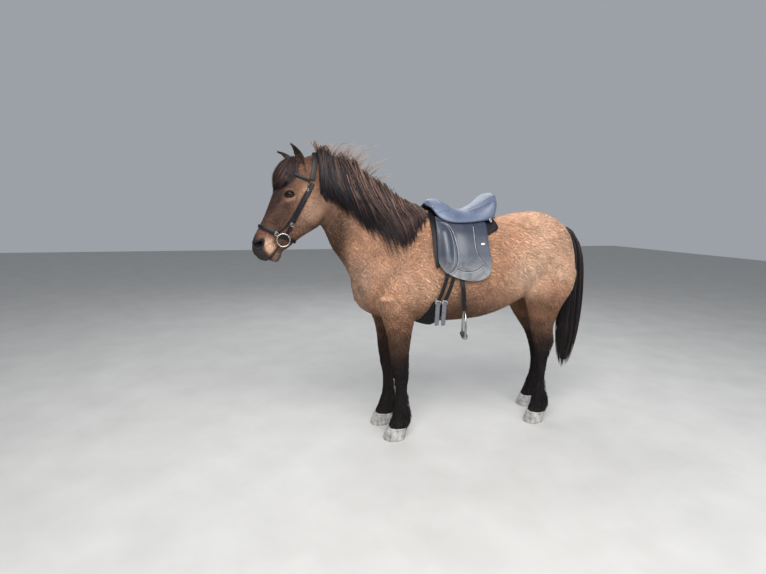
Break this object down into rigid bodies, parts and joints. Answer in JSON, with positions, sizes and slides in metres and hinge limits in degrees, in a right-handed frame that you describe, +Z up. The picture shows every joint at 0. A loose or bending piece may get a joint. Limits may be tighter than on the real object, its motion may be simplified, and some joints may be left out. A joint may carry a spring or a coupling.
{
  "type": "icelandic horse",
  "caption": "Life-size still model of a standing tan horse with black mane, tail and lower legs, wearing a dressage-type saddle with stirrups and a bridle without reins.",
  "frame": {"origin": "on the ground under the middle of the bounding box", "axes": "+Z up, the head towards -Y and the tail towards +Y, +X to the animal's left (near) side"},
  "size_m": [0.6948, 2.1742, 1.7398],
  "materials": {
    "coat_tan": "short hair coat, golden tan, paler on shoulder, flank and croup, darker brown on the head",
    "coat_brown": "short shaggy hair, tan above passing to dark brown at the knee and hock",
    "coat_black": "short hair, black, feathered at the fetlock",
    "eye": "wet dark brown",
    "hoof_horn": "grey-brown horn with growth rings",
    "long_hair": "long coarse hair, black with sun-bleached reddish tops",
    "black_leather": "smooth black leather with stitched welts",
    "steel": "polished stainless steel",
    "tread_rubber": "ribbed black rubber",
    "girth_web": "black padded webbing"
  },
  "bodies": {
    "root": {"head": "coat_tan", "neck": "coat_tan", "trunk": "coat_tan", "ear_left": "coat_tan", "eye_left": "eye", "ear_right": "coat_tan", "eye_right": "eye", "left_fore_leg_upper": "coat_brown", "left_fore_leg_lower": "coat_black", "left_fore_hoof": "hoof_horn", "right_fore_leg_upper": "coat_brown", "right_fore_leg_lower": "coat_black", "right_fore_hoof": "hoof_horn", "left_hind_leg_upper": "coat_brown", "left_hind_leg_lower": "coat_black", "left_hind_hoof": "hoof_horn", "right_hind_leg_upper": "coat_brown", "right_hind_leg_lower": "coat_black", "right_hind_hoof": "hoof_horn", "bridle_headpiece": "black_leather", "bridle_browband": "black_leather", "bridle_noseband": "black_leather", "bridle_cheekpiece_left": "black_leather", "bridle_hanger_left": "black_leather", "bit_ring_left": "steel", "cheek_buckle_left": "steel", "bridle_cheekpiece_right": "black_leather", "bridle_hanger_right": "black_leather", "bit_ring_right": "steel", "cheek_buckle_right": "steel", "bit_mouthpiece": "steel", "saddle_seat": "black_leather", "saddle_panel_left": "black_leather", "saddle_flap_left": "black_leather", "billet_front_left": "black_leather", "girth_buckle_front_left": "steel", "billet_rear_left": "black_leather", "girth_buckle_rear_left": "steel", "stirrup_leather_left": "black_leather", "stirrup_iron_left": "steel", "stirrup_tread_left": "tread_rubber", "saddle_panel_right": "black_leather", "saddle_flap_right": "black_leather", "billet_front_right": "black_leather", "girth_buckle_front_right": "steel", "billet_rear_right": "black_leather", "girth_buckle_rear_right": "steel", "stirrup_leather_right": "black_leather", "stirrup_iron_right": "steel", "stirrup_tread_right": "tread_rubber", "girth": "girth_web", "mane": "long_hair", "forelock": "long_hair", "tail": "long_hair"}
  },
  "joints": []
}
